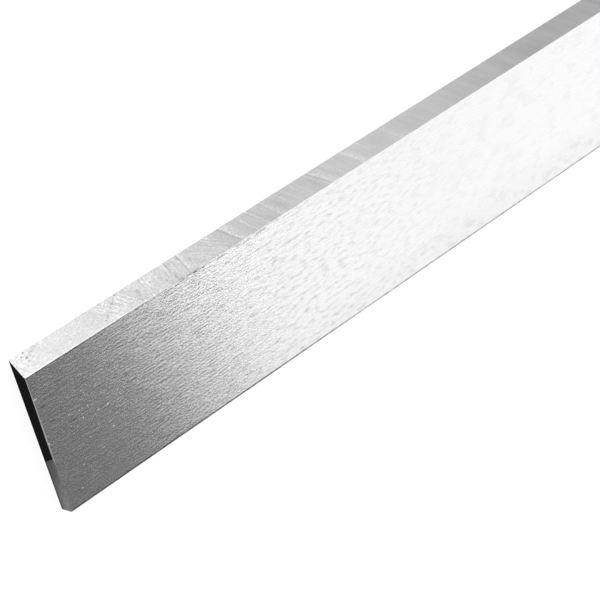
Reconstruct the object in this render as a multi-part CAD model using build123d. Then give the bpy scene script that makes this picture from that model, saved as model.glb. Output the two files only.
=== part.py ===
from build123d import *
import math
import os

# Planer knife: one flat bar of hardened tool steel with a single ground bevel.
# It lies on its rear face, as it would come to rest, with the bevel upwards.
# The origin is the middle of the rear face, where the knife meets the surface it lies on.
# X runs along the knife, +Y points at the cutting edge and +Z is up through the thickness.
# The cutting edge is where the bevel runs out into the rear face, so it has no height there.

# Driving dimensions, in millimetres and degrees
knife_length = 310.0  # end to end, a stock length that suits a 12 inch cutterhead
knife_width = 30.0  # back edge to cutting edge, new and not yet ground back
knife_thickness = 3.0  # rear face to front face
wedge_angle = 43.0  # between the rear face and the bevel
arris_break = 0.2  # 45 degree break on the front arrises, stoned before the bevel is ground

# Lines of the section that follow from the driving dimensions
cutting_edge_y = knife_width / 2
bevel_run = knife_thickness / math.tan(math.radians(wedge_angle))
heel_y = cutting_edge_y - bevel_run


def square_bar():
    """The bar as it leaves the surface grinder, square and with every arris sharp."""
    section = Rectangle(
        knife_width,
        knife_thickness,
        align=(Align.CENTER, Align.MIN),
    )
    return extrude(Plane.YZ * section, amount=knife_length / 2, both=True)


def break_front_arrises(bar):
    """Stone the front face's arrises along the back edge and across both ends.

    The rear face is ground after this, so its own arrises stay crisp, and the fourth front
    arris is left alone because the bevel takes it away.
    """
    front_face = bar.faces().sort_by(Axis.Z)[-1]
    back_to_bevel = front_face.edges().sort_by(Axis.Y)
    return chamfer(back_to_bevel[:-1], arris_break)


def grind_bevel(bar):
    """Grind the long front corner away on the plane through the heel and the cutting edge."""
    bevel_plane = Plane(
        origin=(0, cutting_edge_y, 0),
        x_dir=(1, 0, 0),
        z_dir=(0, knife_thickness, bevel_run),
    )
    return split(bar, bisect_by=bevel_plane, keep=Keep.BOTTOM)


def make_knife():
    """The arrises of the bar are broken first and the bevel is ground last, so its edges are crisp."""
    bar = square_bar()
    bar = break_front_arrises(bar)
    return grind_bevel(bar)


knife = make_knife()
knife.label = "knife"

os.makedirs("parts", exist_ok=True)
export_step(knife, "parts/knife.step")

print(f"knife: cutting edge at y = {cutting_edge_y:.3f} mm, heel at y = {heel_y:.3f} mm")
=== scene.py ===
import math

import bmesh
import bpy
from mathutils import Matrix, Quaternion, Vector


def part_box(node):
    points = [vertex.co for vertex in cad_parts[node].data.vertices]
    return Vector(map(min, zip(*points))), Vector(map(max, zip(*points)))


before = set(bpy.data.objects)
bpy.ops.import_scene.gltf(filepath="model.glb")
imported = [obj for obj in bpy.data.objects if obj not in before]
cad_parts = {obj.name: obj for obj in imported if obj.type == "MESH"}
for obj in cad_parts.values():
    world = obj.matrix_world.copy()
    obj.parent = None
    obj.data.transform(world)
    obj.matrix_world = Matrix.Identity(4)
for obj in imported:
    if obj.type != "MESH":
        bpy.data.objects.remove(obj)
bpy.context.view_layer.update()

# Knife: the one piece, a flat bar of hardened tool steel. Both faces are surface ground along
# the bar, and the bevel is ground across it with a cup wheel. The near end is black down to a
# bare last part. The CAD node keeps its shape, so all of this is its finish. Sizes are in mm.
mm_per_m = 1000.0
knife_length, knife_width, knife_thickness = [
    round((high - low) * mm_per_m, 3) for low, high in zip(*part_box("knife"))
]
arris_break = 0.2
wedge_angle = math.radians(43.0)
heel_y = knife_width / 2 - knife_thickness / math.tan(wedge_angle)
bevel_across = knife_thickness / math.sin(wedge_angle)

ground_steel = bpy.data.materials.new("ground_steel")
ground_steel.use_nodes = True
steel_tree = ground_steel.node_tree
steel = steel_tree.nodes["Principled BSDF"]


def add(tree, kind, **settings):
    """Put a shader node of one kind into a tree, with its settings made."""
    made = tree.nodes.new("ShaderNode" + kind)
    for name, value in settings.items():
        setattr(made, name, value)
    return made


def feed(tree, socket, value):
    """Link a socket to another node's output, or give it a plain value."""
    if isinstance(value, bpy.types.NodeSocket):
        tree.links.new(value, socket)
    else:
        socket.default_value = value


def calc(operation, *values, clamp=False):
    """A Math node of the steel on outputs and numbers."""
    made = add(steel_tree, "Math", operation=operation, use_clamp=clamp)
    for socket, value in zip(made.inputs, values):
        feed(steel_tree, socket, value)
    return made.outputs["Value"]


def total(*values):
    """Several outputs added up."""
    so_far = values[0]
    for value in values[1:]:
        so_far = calc("ADD", so_far, value)
    return so_far


def product(*values):
    """Several outputs multiplied."""
    so_far = values[0]
    for value in values[1:]:
        so_far = calc("MULTIPLY", so_far, value)
    return so_far


def blend(share, plain, other):
    """Goes from plain to other as share goes from 0 to 1."""
    made = add(steel_tree, "Mix", data_type="FLOAT", clamp_factor=True)
    feed(steel_tree, made.inputs[0], share)
    feed(steel_tree, made.inputs[2], plain)
    feed(steel_tree, made.inputs[3], other)
    return made.outputs[0]


def fade(value, start, end):
    """0 where value is at start, 1 where it is at end, and smooth between."""
    made = add(steel_tree, "MapRange", interpolation_type="SMOOTHSTEP")
    feed(steel_tree, made.inputs["Value"], value)
    made.inputs["From Min"].default_value = start
    made.inputs["From Max"].default_value = end
    return made.outputs["Result"]


def grain(place, size, shift, detail=2.0, roughness=0.5):
    """Noise from about -1 to 1, with marks as long, wide and deep as size says, in mm.

    Each shift gives other marks, so no two grains repeat each other.
    """
    scaled = add(steel_tree, "VectorMath", operation="MULTIPLY_ADD")
    feed(steel_tree, scaled.inputs[0], place)
    scaled.inputs[1].default_value = [1 / s for s in size]
    scaled.inputs[2].default_value = (shift, 1.7 * shift, 2.3 * shift)
    noise = add(steel_tree, "TexNoise", noise_dimensions="3D")
    noise.inputs["Scale"].default_value = 1.0
    noise.inputs["Detail"].default_value = detail
    noise.inputs["Roughness"].default_value = roughness
    steel_tree.links.new(scaled.outputs[0], noise.inputs["Vector"])
    return calc("MULTIPLY_ADD", noise.outputs["Fac"], 2.0, -1.0)


def grey_ramp(tree, stops):
    """A ramp of greys through pairs of place, from 0 to 1, and level."""
    made = add(tree, "ValToRGB")
    elements = made.color_ramp.elements
    while len(elements) < len(stops):
        elements.new(0.5)
    for element, (at, level) in zip(elements, stops):
        element.position = at
        element.color = (level, level, level, 1.0)
    return made


def along_knife(distance, stops):
    """A value that changes along the knife, from pairs of mm from the near end and value."""
    made = grey_ramp(steel_tree, [(at / knife_length, value) for at, value in stops])
    feed(steel_tree, made.inputs["Fac"], calc("DIVIDE", distance, knife_length))
    return made.outputs["Color"]


# Where a point of the knife is: x, y and z in mm, and its distance from the near end
where = add(steel_tree, "TexCoord")
in_mm = add(steel_tree, "VectorMath", operation="SCALE")
in_mm.inputs["Scale"].default_value = mm_per_m
steel_tree.links.new(where.outputs["Object"], in_mm.inputs[0])
spot = in_mm.outputs["Vector"]
split_spot = add(steel_tree, "SeparateXYZ")
steel_tree.links.new(spot, split_spot.inputs[0])
x, y, z = split_spot.outputs
from_end = calc("ADD", x, knife_length / 2)

# Which face it is on, from the way the face points: square on to an axis, or only part of the
# way, as the arrises and the bevel are
square_on = 0.9
part_way = 0.5
facing = add(steel_tree, "SeparateXYZ")
steel_tree.links.new(where.outputs["Normal"], facing.inputs[0])
face_x, face_y, face_z = facing.outputs
on_bevel = calc("GREATER_THAN", face_y, part_way)
on_near_end = calc("LESS_THAN", face_x, -square_on)
on_near_arris = calc("SUBTRACT", calc("LESS_THAN", face_x, -part_way), on_near_end)
on_far_end = calc("GREATER_THAN", face_x, part_way)
on_back_arris = product(
    calc("LESS_THAN", face_y, -part_way),
    calc("GREATER_THAN", face_z, part_way),
)
on_front = calc("GREATER_THAN", face_z, square_on)

# Surface grinding: scratches that all run along the knife, long dashes with a short speckle
# among them. Each has a bright side and a darker side, so the same marks are taken away again a
# little further across. Long furrows along the knife make the relief.
dash_size = (3.4, 0.19, 0.19)
speckle_size = (0.36, 0.17, 0.17)
speckle_share = 1.65
dark_side_at = (0.0, 0.25, 0.0)
dark_side_share = -0.30
furrow_size = (3.2, 0.25, 0.25)
furrow_depth = 0.0040


def scratch_marks(place):
    """Long dashes and a short speckle along the knife."""
    dashes = grain(place, dash_size, shift=3.1, detail=0.0)
    speckle = grain(place, speckle_size, shift=5.9, detail=0.0)
    return calc("MULTIPLY_ADD", speckle, speckle_share, dashes)


dark_side = add(steel_tree, "VectorMath", operation="ADD")
steel_tree.links.new(spot, dark_side.inputs[0])
dark_side.inputs[1].default_value = dark_side_at
dark_marks = scratch_marks(dark_side.outputs[0])
bright_marks = scratch_marks(spot)
scratches = calc("MULTIPLY_ADD", dark_marks, dark_side_share, bright_marks)
furrows = grain(spot, furrow_size, shift=8.3, detail=0.0)
ground_height = calc("MULTIPLY", furrows, furrow_depth)
scratch_strength = along_knife(
    from_end,
    [
        (0, 0.12), (7, 0.07), (14, 0.06), (20, 0.18), (27, 0.38), (40, 0.45), (50, 0.27),
        (60, 0.11), (80, 0.04), (100, 0.03), (310, 0.03),
    ],
)

# The rear face and the back edge look the same all along: they have scratches of one strength,
# and what changes along the front face is there as it is far from the near end
even_strength = 0.16
far_from_end = 200.0
scratch_strength = blend(on_front, even_strength, scratch_strength)
finish_from_end = blend(on_front, far_from_end, from_end)

# Further on the scratches give way to small dark flecks and then to wide dull patches, most of
# them along the back edge, where the whole face is a little duller too
fleck_size = (2.2, 0.68, 0.68)
fleck_top = 0.05
patch_size = (3.0, 1.7, 1.7)
patch_share_off_back = 0.40
flecks = calc("MINIMUM", grain(spot, fleck_size, shift=14.2, detail=1.0), fleck_top)
fleck_strength = along_knife(
    finish_from_end,
    [(0, 0.0), (35, 0.0), (48, 0.28), (60, 0.34), (80, 0.23), (105, 0.07), (130, 0.0)],
)
by_back = fade(y, start=-7.0, end=-13.5)
patches = fade(grain(spot, patch_size, shift=20.3, detail=2.0), start=0.05, end=-0.40)
patch_strength = along_knife(
    finish_from_end,
    [(0, 0.0), (60, 0.0), (85, 0.05), (115, 0.08), (310, 0.08)],
)
back_dull = along_knife(finish_from_end, [(0, 0.0), (50, 0.0), (75, 0.035), (310, 0.035)])
dulling = total(
    product(patches, patch_strength, blend(by_back, patch_share_off_back, 1.0)),
    product(back_dull, by_back),
)

# Cup wheel marks across the bevel. They lean one way near the end and the other further on,
# where lean is how far a mark moves along the knife for each mm from the cutting edge. They are
# a little crinkled, with fine dots among them and faint wide bands behind them.
crinkle_size = (0.45, 0.45, 0.45)
crinkle_reach = 0.22
dot_size = (0.34, 0.34, 0.34)
from_edge = calc("DIVIDE", z, math.sin(wedge_angle))
crinkle = grain(spot, crinkle_size, shift=4.4, detail=0.0)
crinkled_end = calc("MULTIPLY_ADD", crinkle, crinkle_reach, from_end)
wheel_dots = grain(spot, dot_size, shift=6.1, detail=0.0)


def wheel_marks(lean, size, shift):
    """Marks across the bevel with one lean, as wide and long as size says, in mm."""
    along = calc("SUBTRACT", crinkled_end, calc("MULTIPLY", from_edge, lean))
    on_bevel_flat = add(steel_tree, "CombineXYZ")
    steel_tree.links.new(along, on_bevel_flat.inputs["X"])
    steel_tree.links.new(from_edge, on_bevel_flat.inputs["Y"])
    return grain(on_bevel_flat.outputs["Vector"], (*size, 1.0), shift, detail=0.0)


# Each lean starts at its own distance from the near end, the last one at a leaning step
steep_from = 19.0
upright_from = 28.6
late_from = 42.5
far_from = 50.5
far_lean = 0.6
near_marks = wheel_marks(lean=-2.0, size=(0.40, 2.0), shift=1.3)
steep_marks = wheel_marks(lean=1.0, size=(0.40, 2.4), shift=7.9)
upright_marks = wheel_marks(lean=0.0, size=(0.35, 2.0), shift=3.7)
late_marks = wheel_marks(lean=1.3, size=(0.40, 2.2), shift=5.2)
far_marks = wheel_marks(lean=far_lean, size=(0.60, 4.0), shift=8.8)
wheel_grain = blend(calc("GREATER_THAN", crinkled_end, steep_from), near_marks, steep_marks)
wheel_grain = blend(calc("GREATER_THAN", crinkled_end, upright_from), wheel_grain, upright_marks)
wheel_grain = blend(calc("GREATER_THAN", crinkled_end, late_from), wheel_grain, late_marks)
past_step = calc("SUBTRACT", crinkled_end, calc("MULTIPLY", from_edge, far_lean))
wheel_grain = blend(calc("GREATER_THAN", past_step, far_from), wheel_grain, far_marks)
wheel_strength = along_knife(
    from_end,
    [
        (0, 0.12), (4, 0.10), (7, 0.05), (17, 0.06), (20, 0.12), (22, 0.18), (27, 0.20),
        (29, 0.14), (42, 0.12), (48, 0.10), (54, 0.07), (72, 0.06), (110, 0.03), (310, 0.03),
    ],
)
dot_strength = along_knife(
    from_end,
    [
        (0, 0.26), (5, 0.17), (17, 0.13), (21, 0.20), (28, 0.20), (34, 0.16), (47, 0.13),
        (54, 0.05), (61, 0.09), (66, 0.09), (70, 0.05), (76, 0.10), (84, 0.04), (310, 0.03),
    ],
)
band_strength = 0.07
wheel_bands = wheel_marks(lean=0.85, size=(1.8, 6.0), shift=2.9)
wheel_tone = total(
    calc("MULTIPLY", wheel_grain, wheel_strength),
    calc("MULTIPLY", wheel_dots, dot_strength),
    calc("MULTIPLY", wheel_bands, band_strength),
)

# The bolder marks one by one: where each starts in mm from the near end, its lean, its width,
# how bright it is, and the span that it covers in mm from the cutting edge. Its side towards the
# near end is sharp, the other side fades over its width, and the dots break it up.
bold_marks = (
    (-0.8, 0.60, 0.30, -0.24, 2.3, 3.9),
    (5.5, -1.80, 0.30, -0.22, 0.0, 1.6),
    (6.6, -2.00, 0.30, -0.16, 0.0, 1.2),
    (15.6, -2.30, 0.30, 0.14, 0.3, 2.6),
    (15.9, -2.30, 0.30, -0.14, 0.3, 2.6),
    (16.6, 1.20, 0.30, 0.24, 3.4, 4.1),
    (17.3, -1.90, 0.50, 0.08, 0.2, 4.2),
    (18.6, 0.95, 0.28, 0.30, 2.9, 4.1),
    (19.3, 0.90, 0.25, 0.22, 1.0, 1.9),
    (20.2, 0.85, 0.28, 0.34, 2.3, 3.9),
    (20.9, 0.90, 0.25, 0.22, 0.5, 1.2),
    (21.6, 0.75, 0.28, 0.34, 1.9, 3.6),
    (22.8, 0.75, 0.28, 0.36, 1.4, 3.1),
    (23.9, 0.75, 0.28, 0.34, 0.7, 2.4),
    (24.9, -1.50, 0.28, -0.12, 0.2, 3.5),
    (25.1, 0.75, 0.28, 0.36, 0.3, 3.1),
    (28.4, 0.00, 0.25, -0.12, 1.4, 4.0),
    (30.8, 0.00, 0.30, 0.16, 0.0, bevel_across),
    (36.2, 0.10, 0.35, 0.20, 0.0, 1.8),
    (36.6, 0.10, 0.30, -0.26, 0.0, 4.0),
    (39.6, 0.05, 0.40, -0.16, 0.0, bevel_across),
    (40.2, 0.05, 0.60, 0.20, 0.0, 3.4),
    (43.8, 1.30, 0.35, 0.14, 0.5, 4.2),
    (45.6, 1.30, 0.35, 0.12, 0.2, 4.0),
    (46.7, 1.25, 0.35, 0.24, 0.2, 2.0),
    (50.3, 0.66, 0.30, -0.15, 0.0, bevel_across),
    (50.8, 0.62, 0.35, 0.20, 0.0, bevel_across),
    (51.0, 0.62, 2.60, 0.12, 0.0, bevel_across),
    (55.2, 0.50, 0.35, 0.14, 0.0, bevel_across),
    (57.7, 0.64, 0.40, 0.22, 0.0, bevel_across),
    (58.4, 0.64, 0.40, -0.08, 0.0, 2.5),
    (61.6, 0.50, 1.20, 0.10, 0.0, bevel_across),
    (63.6, 0.50, 0.50, -0.07, 0.0, bevel_across),
    (65.3, 0.50, 0.50, 0.08, 0.0, bevel_across),
    (67.2, 0.55, 0.60, 0.09, 0.0, bevel_across),
    (69.2, 0.50, 0.60, 0.06, 0.0, 3.0),
    (73.8, 0.85, 0.45, -0.16, 0.0, 4.0),
    (74.4, 0.85, 1.20, 0.10, 0.6, bevel_across),
    (76.4, 0.60, 0.60, 0.07, 0.5, bevel_across),
    (83.6, 0.70, 2.20, 0.12, 0.3, 4.2),
    (88.0, 0.60, 1.20, 0.05, 0.2, 2.5),
    (95.0, 0.60, 1.60, 0.06, 0.0, bevel_across),
    (99.6, 0.40, 1.00, -0.04, 0.0, 3.5),
    (106.0, 0.90, 2.40, 0.04, 0.5, 3.4),
)
sharp_side_width = 0.12
soft_at_edge_end = 0.2
soft_at_heel_end = 0.3
broken_by_dots = 1.5
wheel_depth = 0.0015
bold_tone = 0.0
for start, lean, width, tone, span_start, span_end in bold_marks:
    past = calc("SUBTRACT", crinkled_end, calc("MULTIPLY_ADD", from_edge, lean, start))
    sharp_side = calc("MULTIPLY_ADD", past, 1 / sharp_side_width, 1.0)
    faded_side = calc("MULTIPLY_ADD", past, -1 / width, 1.0)
    mark = calc("MAXIMUM", calc("MINIMUM", sharp_side, faded_side), 0.0)
    if span_start > 0:
        in_span = fade(from_edge, span_start - soft_at_edge_end, span_start + soft_at_edge_end)
        mark = calc("MULTIPLY", mark, in_span)
    if span_end < bevel_across:
        in_span = fade(from_edge, span_end + soft_at_heel_end, span_end - soft_at_heel_end)
        mark = calc("MULTIPLY", mark, in_span)
    bold_tone = calc("MULTIPLY_ADD", mark, tone, bold_tone)
dotted = calc("MULTIPLY_ADD", wheel_dots, broken_by_dots, 1.0)
wheel_tone = calc("MULTIPLY_ADD", bold_tone, dotted, wheel_tone)
wheel_height = calc("MULTIPLY", calc("ADD", wheel_bands, wheel_dots), wheel_depth)

# Nicks along the bevel's two long edges, and a painted highlight along the heel near the end
nick_size = (0.5, 0.3, 0.3)
nick_strength = 0.20
heel_highlight_tone = 0.16
from_heel = calc("SUBTRACT", bevel_across, from_edge)
by_an_edge = fade(calc("MINIMUM", from_edge, from_heel), start=0.35, end=0.15)
nicks = grain(spot, nick_size, shift=10.3, detail=1.0)
wheel_tone = calc("MULTIPLY_ADD", product(nicks, by_an_edge), nick_strength, wheel_tone)
painted_heel_highlight = product(
    fade(from_heel, start=0.30, end=0.20),
    fade(from_end, start=38.0, end=26.0),
)
wheel_tone = calc("MULTIPLY_ADD", painted_heel_highlight, heel_highlight_tone, wheel_tone)

# Small marks one by one: rough pits with painted highlights, and dark scratches on the front
# face, nearly all close to the near end, dark bits along the heel, and dark dots on the bevel.
# For each: mm from the near end, y, half of its length and of its width, and how bright it is.
specks = (
    (8.2, 0.96, 0.22, 0.13, 0.30),
    (8.9, 1.05, 0.26, 0.12, 0.20),
    (10.1, 0.93, 0.20, 0.14, 0.40),
    (8.5, -0.65, 0.20, 0.14, 0.40),
    (10.2, 3.5, 0.20, 0.12, 0.22),
    (6.0, 1.4, 0.20, 0.12, 0.22),
    (14.2, -1.0, 0.20, 0.14, 0.44),
    (12.0, -0.9, 0.45, 0.11, 0.16),
    (8.6, -4.6, 0.20, 0.12, 0.18),
    (13.9, -5.3, 0.24, 0.13, 0.22),
    (5.4, -8.4, 0.20, 0.13, 0.22),
    (3.6, -12.1, 0.20, 0.15, 0.34),
    (0.5, 7.4, 0.60, 0.14, 0.28),
    (0.2, -1.3, 0.30, 0.25, 0.34),
    (2.4, 2.1, 1.10, 0.12, -0.26),
    (1.5, 5.5, 1.00, 0.13, -0.26),
    (4.8, 3.0, 0.24, 0.15, -0.22),
    (5.1, 3.2, 0.90, 0.12, -0.18),
    (6.3, 0.0, 0.90, 0.12, -0.22),
    (10.6, -1.9, 0.60, 0.09, -0.16),
    (45.0, -12.0, 0.24, 0.18, -0.34),
    (37.9, 11.42, 1.60, 0.13, -0.20),
    (40.9, 11.44, 1.00, 0.14, -0.32),
    (42.9, 11.44, 0.50, 0.14, -0.60),
    (3.0, 14.0, 0.24, 0.19, -0.50),
    (4.5, 14.4, 0.22, 0.15, -0.24),
    (2.9, 13.46, 0.24, 0.16, -0.24),
    (3.05, 14.78, 0.22, 0.16, -0.45),
    (2.25, 14.4, 0.24, 0.16, -0.45),
    (24.5, 14.78, 0.20, 0.15, -0.25),
    (23.7, 14.42, 0.22, 0.15, -0.25),
    (23.1, 13.98, 0.20, 0.15, -0.25),
    (22.4, 13.61, 0.22, 0.15, -0.25),
    (20.7, 12.84, 0.20, 0.15, -0.22),
    (19.9, 12.48, 0.22, 0.15, -0.22),
    (34.9, 12.66, 0.20, 0.15, -0.20),
    (36.9, 12.44, 0.22, 0.15, -0.22),
    (28.65, 13.61, 0.20, 0.14, -0.18),
    (28.7, 13.24, 0.18, 0.14, -0.18),
    (28.7, 12.81, 0.20, 0.14, -0.18),
)
half_depth = 1.0

# Among them are fine glints, most of them close to one line along the middle of the front face
glint_size = (0.60, 0.20, 0.20)
glint_line_y = 0.5
glint_share_off_line = 0.35
glints = fade(grain(spot, glint_size, shift=21.4, detail=0.0), start=0.46, end=0.60)
glint_strength = along_knife(from_end, [(0, 0.03), (4, 0.12), (14, 0.14), (24, 0.10), (34, 0.0)])
from_glint_line = calc("ABSOLUTE", calc("SUBTRACT", y, glint_line_y))
by_glint_line = fade(from_glint_line, start=7.0, end=3.0)
glints = product(glints, glint_strength, blend(by_glint_line, glint_share_off_line, 1.0))
speck_tone_and_highlights = 0.0
for distance, speck_y, half_length, half_width, tone in specks:
    reach = (half_length, half_width, half_depth)
    speck_z = min(knife_thickness, (knife_width / 2 - speck_y) * math.tan(wedge_angle))
    middle = (distance - knife_length / 2, speck_y, speck_z)
    from_middle = add(steel_tree, "VectorMath", operation="MULTIPLY_ADD")
    steel_tree.links.new(spot, from_middle.inputs[0])
    from_middle.inputs[1].default_value = [1 / r for r in reach]
    from_middle.inputs[2].default_value = [-m / r for m, r in zip(middle, reach)]
    size = add(steel_tree, "VectorMath", operation="LENGTH")
    steel_tree.links.new(from_middle.outputs[0], size.inputs[0])
    bowl = calc("MULTIPLY_ADD", size.outputs["Value"], -2.0, 2.0, clamp=True)
    speck_tone_and_highlights = calc("MULTIPLY_ADD", bowl, tone, speck_tone_and_highlights)
wheel_tone = calc("ADD", wheel_tone, speck_tone_and_highlights)
# The glints and the bright specks are painted highlights in the colour, and the dark specks are
# marks
specks_and_painted_glints = calc("ADD", glints, speck_tone_and_highlights)

# The two grinds meet in one height for the relief, and the cut ends are coarser than both
cut_size = (0.5, 0.9, 0.25)
cut_depth = 0.01
cut_grain = grain(spot, cut_size, shift=7.7, detail=3.0, roughness=0.6)
on_cut_end = calc("ADD", on_near_end, on_far_end)
height = blend(on_bevel, ground_height, wheel_height)
height = blend(on_cut_end, height, calc("MULTIPLY", cut_grain, cut_depth))
relief = add(steel_tree, "Bump")
relief.inputs["Distance"].default_value = 1 / mm_per_m
feed(steel_tree, relief.inputs["Height"], height)
feed(steel_tree, steel.inputs["Normal"], relief.outputs["Normal"])

# Colour: clean grey steel, with scratches that are a little stronger towards the cutting edge.
# The bevel's grey drifts along the knife, lighter and darker with painted light and shade.
clean_grey = 0.755
scratches_at_middle = 1.02
scratches_per_mm = 0.015
specks_and_highlights_strength = 1.6
across_strength = calc("MULTIPLY_ADD", y, scratches_per_mm, scratches_at_middle)
scratch_strength = product(scratch_strength, across_strength)
front_grey = calc("MULTIPLY_ADD", scratches, scratch_strength, clean_grey)
front_grey = calc("MULTIPLY_ADD", flecks, fleck_strength, front_grey)
front_grey = calc("SUBTRACT", front_grey, dulling)
bevel_grey_with_painted_light = along_knife(
    from_end,
    [
        (0, 0.79), (4, 0.78), (14, 0.72), (34, 0.69), (54, 0.65), (66, 0.68), (76, 0.73),
        (84, 0.81), (104, 0.83), (114, 0.82), (124, 0.78), (136, 0.71), (154, 0.68), (310, 0.68),
    ],
)
front_grey = calc("MULTIPLY_ADD", specks_and_painted_glints, specks_and_highlights_strength, front_grey)
bright = blend(on_bevel, front_grey, calc("ADD", bevel_grey_with_painted_light, wheel_tone))

# The stoned arrises: painted shade along the back edge, with a strip of the front face beside it,
# and a painted highlight across the near end, less bright beside its bare part
back_strip_starts = 0.50 - knife_width / 2
back_strip_full = 0.38 - knife_width / 2
bead_size = (1.3, 3.0, 3.0)
strip_beads = 0.25
arris_beads = 0.08
on_back_shade_strip = product(on_front, fade(y, back_strip_starts, back_strip_full))
beads = grain(spot, bead_size, shift=15.7, detail=1.0)
back_strip_shade_grey = along_knife(
    from_end,
    [(0, 0.32), (20, 0.24), (45, 0.17), (60, 0.22), (75, 0.46), (90, 0.38), (310, 0.42)],
)
bright = blend(on_back_shade_strip, bright, calc("MULTIPLY_ADD", beads, strip_beads, back_strip_shade_grey))
back_arris_shade_grey = along_knife(from_end, [(0, 0.08), (50, 0.07), (75, 0.16), (310, 0.16)])
bright = blend(on_back_arris, bright, calc("MULTIPLY_ADD", beads, arris_beads, back_arris_shade_grey))

# Painted highlight along the near arris, uneven along it
highlight_grain_size = (0.5, 1.2, 0.5)
highlight_unevenness = 0.25
near_arris_highlight_grey = 0.88
highlight_grey_at_bare = 0.48
highlight_grain = grain(spot, highlight_grain_size, shift=9.2)
near_arris_highlight = blend(fade(y, start=-2.5, end=-6.5), near_arris_highlight_grey, highlight_grey_at_bare)
bright = blend(on_near_arris, bright, calc("MULTIPLY_ADD", highlight_grain, highlight_unevenness, near_arris_highlight))

# Below the heel on the front face: a thin dark line of painted reflection, ragged and gone after
# 72 mm, and from 44 to 68 mm a row of dull blots under it
dark_reflection_grey = 0.30
blot_grey = 0.40
ragged_size = (1.0, 0.5, 2.0)
blot_size = (1.8, 1.0, 1.0)
below_heel = calc("SUBTRACT", heel_y, y)
dark_reflection_strength = along_knife(
    from_end,
    [
        (0, 1.0), (15, 0.9), (30, 0.5), (36, 0.3), (39.5, 0.9), (42, 0.9), (44.5, 0.2),
        (60, 0.1), (72, 0.0),
    ],
)
heel_dark_reflection = product(
    on_front,
    fade(below_heel, start=0.32, end=0.20),
    dark_reflection_strength,
    calc("MULTIPLY_ADD", grain(spot, ragged_size, shift=11.0), 2.4, 0.7, clamp=True),
)
bright = blend(heel_dark_reflection, bright, dark_reflection_grey)
heel_blots = product(
    on_front,
    fade(below_heel, start=0.20, end=0.34),
    fade(below_heel, start=0.74, end=0.54),
    along_knife(from_end, [(0, 0.0), (44, 0.0), (47, 0.9), (62, 0.7), (68, 0.0)]),
    fade(grain(spot, blot_size, shift=17.3, detail=0.0), start=0.10, end=-0.25),
)
bright = blend(heel_blots, bright, blot_grey)

# The near end: matt black from the cutting edge down to a ragged, leaning limit, then bare cut
# steel. Towards the bevel the black also comes over the foot of the near arris.
black_grey = 0.030
black_ends_y = -5.42
black_soft = 0.06
limit_lean = -0.42
limit_size = (1.0, 0.5, 0.5)
limit_ragged = 0.25
limit_by_height = calc("MULTIPLY", z, limit_lean)
limit_wobble = calc("MULTIPLY", grain(spot, limit_size, shift=12.5), limit_ragged)
limit = total(y, limit_by_height, limit_wobble)
black = product(on_near_end, fade(limit, black_ends_y - black_soft, black_ends_y + black_soft))

# The bare part is lighter towards the back edge, and painted shade darkens it towards the rear
# face
bare_at_black = 0.091
bare_gain_to_back = 0.135
bare_in_foot_shade = 0.22
bare_gain_per_mm = 0.17
gain_out_of_foot_shade = 0.46
bare_unevenness = 0.9
bare_grey = calc("MULTIPLY_ADD", fade(y, start=-5.0, end=-14.5), bare_gain_to_back, bare_at_black)
out_of_foot_shade = fade(z, start=0.0, end=1.2)
up_the_end = calc("MULTIPLY_ADD", z, bare_gain_per_mm, bare_in_foot_shade)
bare_grey = product(
    bare_grey,
    calc("MULTIPLY_ADD", out_of_foot_shade, gain_out_of_foot_shade, up_the_end),
    calc("MULTIPLY_ADD", cut_grain, bare_unevenness, 1.0),
)
bright = blend(on_near_end, bright, bare_grey)

far_end_grey = 0.5
far_end_unevenness = 0.08
bright = blend(
    on_far_end,
    bright,
    calc("MULTIPLY_ADD", cut_grain, far_end_unevenness, far_end_grey),
)
black_over_arris = 0.09
arris_foot = knife_thickness - arris_break
arris_limit = calc("MULTIPLY_ADD", fade(y, start=-2.0, end=9.0), black_over_arris, arris_foot)
black_arris = product(on_near_arris, calc("LESS_THAN", z, arris_limit))
black = calc("MAXIMUM", black, black_arris)
bright = blend(black, bright, black_grey)
feed(steel_tree, steel.inputs["Base Color"], bright)
feed(steel_tree, steel.inputs["Metallic"], calc("SUBTRACT", 1.0, black))

# Gloss: the front mirrors most sharply along the knife, and the bevel and the ends are rougher
front_rough = 0.165
scratch_rough = 0.053
scratch_rough_per_mm = 0.0007
pit_rough = 0.9
bevel_rough = 0.34
end_rough = 0.5
rough_across = calc("MULTIPLY_ADD", y, scratch_rough_per_mm, scratch_rough)
rough = calc("MULTIPLY_ADD", scratches, rough_across, front_rough)
rough = calc("MULTIPLY_ADD", calc("MAXIMUM", specks_and_painted_glints, 0.0), pit_rough, rough)
rough = blend(on_bevel, rough, bevel_rough)
rough = blend(on_cut_end, rough, end_rough)
feed(steel_tree, steel.inputs["Roughness"], rough)
steel.inputs["Anisotropic"].default_value = 0.6
steel.inputs["Specular IOR Level"].default_value = 0.0
round_knife = add(steel_tree, "Tangent", direction_type="RADIAL", axis="X")
feed(steel_tree, steel.inputs["Tangent"], round_knife.outputs["Tangent"])

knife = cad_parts["knife"]
knife.material_slots[0].material = ground_steel

# Floor: a plain white sheet that the knife lies on. It shows white to the camera and in the
# steel, and keeps a faint shadow of the knife. Sizes from here on are in metres.
floor_half_side = 3.0
gap_under_knife = 0.00005
sheet_grey = (0.3, 0.3, 0.3, 1.0)
sheet_white = (1.0, 1.0, 1.0, 1.0)
sheet_rough = 0.9
sheet_shine = 0.9
floor_mesh = bpy.data.meshes.new("floor")
floor_making = bmesh.new()
bmesh.ops.create_grid(floor_making, x_segments=1, y_segments=1, size=floor_half_side)
bmesh.ops.translate(floor_making, verts=floor_making.verts, vec=(0, 0, -gap_under_knife))
floor_making.to_mesh(floor_mesh)
floor_making.free()
floor = bpy.data.objects.new("floor", floor_mesh)
bpy.context.scene.collection.objects.link(floor)

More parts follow.
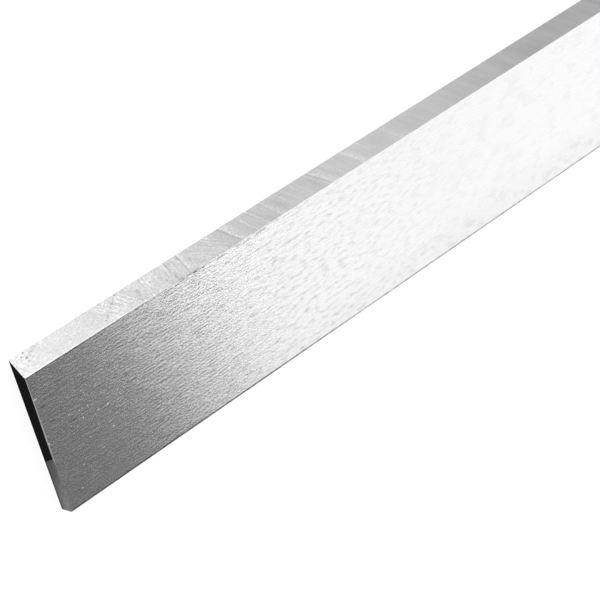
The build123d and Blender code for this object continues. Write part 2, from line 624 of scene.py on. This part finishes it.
white_sheet = bpy.data.materials.new("white_sheet")
white_sheet.use_nodes = True
sheet_tree = white_sheet.node_tree
sheet = sheet_tree.nodes["Principled BSDF"]
sheet.inputs["Base Color"].default_value = sheet_grey
sheet.inputs["Roughness"].default_value = sheet_rough
sheet.inputs["Specular IOR Level"].default_value = 0.0
sheet.inputs["Emission Color"].default_value = sheet_white
ray = add(sheet_tree, "LightPath")
shows_white = ray.outputs["Is Camera Ray"]
for kind_of_ray in ("Is Glossy Ray", "Is Transmission Ray"):
    either = add(sheet_tree, "Math", operation="MAXIMUM")
    sheet_tree.links.new(shows_white, either.inputs[0])
    sheet_tree.links.new(ray.outputs[kind_of_ray], either.inputs[1])
    shows_white = either.outputs["Value"]
shine = add(sheet_tree, "Math", operation="MULTIPLY")
sheet_tree.links.new(shows_white, shine.inputs[0])
shine.inputs[1].default_value = sheet_shine
sheet_tree.links.new(shine.outputs["Value"], sheet.inputs["Emission Strength"])
floor.data.materials.append(white_sheet)

# Studio: pale walls, with a dimmer band above them and a pale ceiling. Two soft boxes, one close
# behind the other, stand beyond the far end of the knife, so their light has a soft edge, and a
# smaller one stands beyond its cutting edge. All of them face the near half of the knife.
wall_levels = ((0.10, 0.9), (0.34, 0.5), (0.55, 0.26), (0.85, 0.15), (0.965, 0.6))
far_way = (0.786, -0.265, 0.560)
far_roll = 37.9
side_way = (0.30, 0.85, 0.45)
lit_place = Vector((-0.08, 0, 0))
studio = bpy.data.worlds.new("studio")
bpy.context.scene.world = studio
studio.use_nodes = True
studio_tree = studio.node_tree
way_out = add(studio_tree, "TexCoord")
way_split = add(studio_tree, "SeparateXYZ")
studio_tree.links.new(way_out.outputs["Generated"], way_split.inputs[0])
walls = grey_ramp(studio_tree, wall_levels)
studio_tree.links.new(way_split.outputs["Z"], walls.inputs["Fac"])
studio_tree.links.new(walls.outputs["Color"], studio_tree.nodes["Background"].inputs["Color"])


def soft_box(name, direction, roll, distance, width, height, level):
    """A rectangular soft box that faces the knife, as bright as level all over."""
    lamp = bpy.data.lights.new(name, "AREA")
    lamp.shape = "RECTANGLE"
    lamp.size = width
    lamp.size_y = height
    lamp.energy = level * math.pi * width * height
    box = bpy.data.objects.new(name, lamp)
    way = Vector(direction).normalized()
    box.location = lit_place + way * distance
    box.rotation_mode = "QUATERNION"
    box.rotation_quaternion = Quaternion(way, math.radians(roll)) @ way.to_track_quat("Z", "Y")
    bpy.context.scene.collection.objects.link(box)


soft_box("far_box", far_way, far_roll, distance=1.6, width=1.5, height=1.31, level=0.55)
soft_box("far_box_middle", far_way, far_roll, distance=1.7, width=1.6, height=1.25, level=0.50)
soft_box("side_box", side_way, roll=0.0, distance=1.6, width=1.0, height=0.9, level=1.1)

# Camera: a long lens above the near end, looking along the knife with its axis on the front
# face. Its place and turn were fitted to the knife's straight edges and corners.
camera_place = (-0.344543, 0.167730, 0.321818)
camera_turn = (-9.1466, -42.9805, -21.2279)
focal_length_mm = 141.0
sensor_width_mm = 36.0
camera_lens = bpy.data.cameras.new("camera")
camera_lens.lens = focal_length_mm
camera_lens.sensor_width = sensor_width_mm
camera_lens.clip_start = 0.01
camera = bpy.data.objects.new("camera", camera_lens)
camera.location = camera_place
camera.rotation_euler = [math.radians(angle) for angle in camera_turn]
bpy.context.scene.collection.objects.link(camera)
bpy.context.scene.camera = camera
bpy.context.scene.view_settings.view_transform = "Standard"
